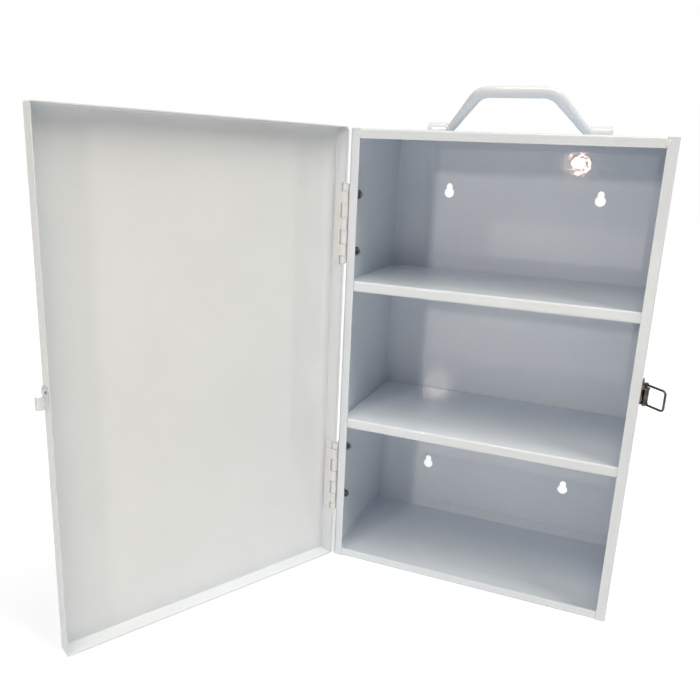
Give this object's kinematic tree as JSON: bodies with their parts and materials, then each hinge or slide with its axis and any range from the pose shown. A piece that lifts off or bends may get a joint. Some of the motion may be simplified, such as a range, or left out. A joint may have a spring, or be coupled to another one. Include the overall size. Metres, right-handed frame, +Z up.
{
  "type": "lockable medicine cabinet",
  "caption": "Sheet-steel wall and carry cabinet with shelves, a hinged flanged door, a folding carry handle, a wire draw latch and keyholes in its back.",
  "frame": {"origin": "middle of the underside of the case", "axes": "+Z up, front of the case faces -Y, back faces +Y, hinges at -X, latch at +X"},
  "size_m": [0.4185, 0.3755, 0.4495],
  "materials": {
    "case_paint": "gloss white powder coat",
    "door_paint": "gloss white powder coat",
    "hinge_paint": "gloss white powder coat over steel",
    "screw_steel": "nickel-plated steel",
    "latch_steel": "dark nickel-plated steel"
  },
  "bodies": {
    "case": {"case_wrapper": "case_paint", "top_pan": "case_paint", "bottom_pan": "case_paint", "upper_shelf": "case_paint", "lower_shelf": "case_paint", "upper_hinge_case_leaf": "hinge_paint", "lower_hinge_case_leaf": "hinge_paint", "upper_hinge_pin": "hinge_paint", "lower_hinge_pin": "hinge_paint", "hinge_screws": "screw_steel", "hinge_washers": "screw_steel", "hinge_nuts": "screw_steel", "left_handle_bracket": "case_paint", "right_handle_bracket": "case_paint", "latch_base": "latch_steel", "latch_rivets": "latch_steel", "latch_pivot_pin": "latch_steel"},
    "door": {"door_pan": "door_paint", "keeper": "door_paint", "upper_hinge_door_leaf": "hinge_paint", "lower_hinge_door_leaf": "hinge_paint"},
    "handle": {"handle": "case_paint"},
    "lever": {"latch_lever": "latch_steel"},
    "bail_pin": {"latch_bail_pin": "latch_steel"},
    "bail": {"latch_bail": "latch_steel"}
  },
  "joints": [
    {"name": "door_swing", "type": "hinge", "parent": "case", "child": "door", "pos_m": [-0.13295, -0.0717, 0.206], "axis": [0, 0, 1], "range_deg": [-56.5, 118.5]},
    {"name": "handle_swing", "type": "hinge", "parent": "case", "child": "handle", "pos_m": [0, -0.0035, 0.4165], "axis": [1, 0, 0], "range_deg": [-123.5, 56.5]},
    {"name": "lever_swing", "type": "hinge", "parent": "case", "child": "lever", "pos_m": [0.1343, -0.0632, 0.21], "axis": [0, 0, -1], "range_deg": [0, 130]},
    {"name": "bail_pin_turn", "type": "hinge", "parent": "lever", "child": "bail_pin", "pos_m": [0.1343, -0.0588, 0.21], "axis": [0, 0, -1], "range_deg": [-130, 0]},
    {"name": "bail_swing", "type": "hinge", "parent": "bail_pin", "child": "bail", "pos_m": [0.1343, -0.0588, 0.21], "axis": [0, 0, 1], "range_deg": [-45, 105]}
  ],
  "couplings": [
    {"joint": "bail_pin_turn", "follows": "lever_swing", "ratio": -1}
  ]
}
